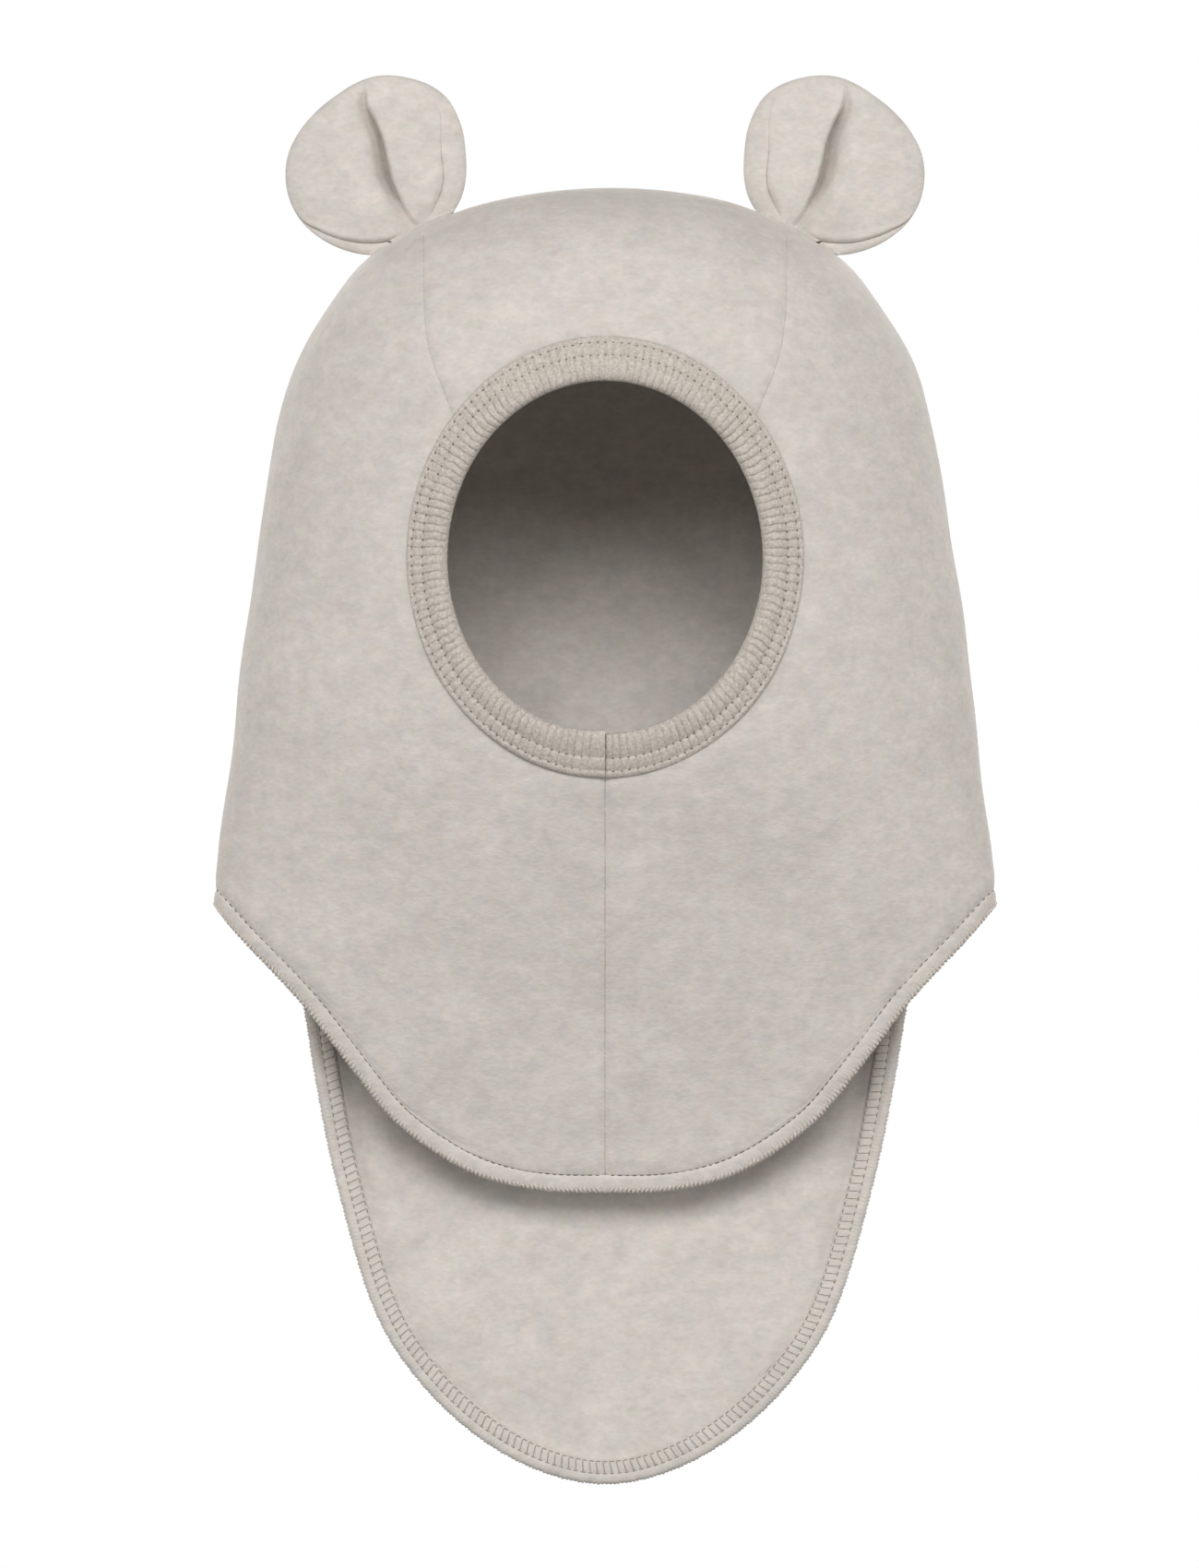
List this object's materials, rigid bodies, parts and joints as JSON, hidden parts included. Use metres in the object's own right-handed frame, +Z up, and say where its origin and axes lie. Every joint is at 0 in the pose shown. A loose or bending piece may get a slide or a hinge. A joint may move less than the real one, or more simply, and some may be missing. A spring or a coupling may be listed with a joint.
{
  "type": "baby hat with ears",
  "caption": "Baby balaclava hat in wool fleece with a round rib-knit face opening, two round ears, a front bib and a long neck flap behind.",
  "frame": {"origin": "inside of the crown at its middle, where the top of the head sits", "axes": "+Z up towards the crown, -Y out of the face opening, +X to the right as the hat is seen from the front, which is the wearer's left"},
  "size_m": [0.2192, 0.1179, 0.399],
  "materials": {
    "fleece": "light greige melange wool fleece, brushed and matte",
    "rib_knit": "one-by-one rib knit in the same wool, a shade darker, matte"
  },
  "bodies": {
    "root": {"back_panel": "fleece", "side_panel_left": "fleece", "side_panel_right": "fleece", "ear_front_left": "fleece", "ear_back_left": "fleece", "ear_front_right": "fleece", "ear_back_right": "fleece", "face_rib": "rib_knit"}
  },
  "joints": []
}
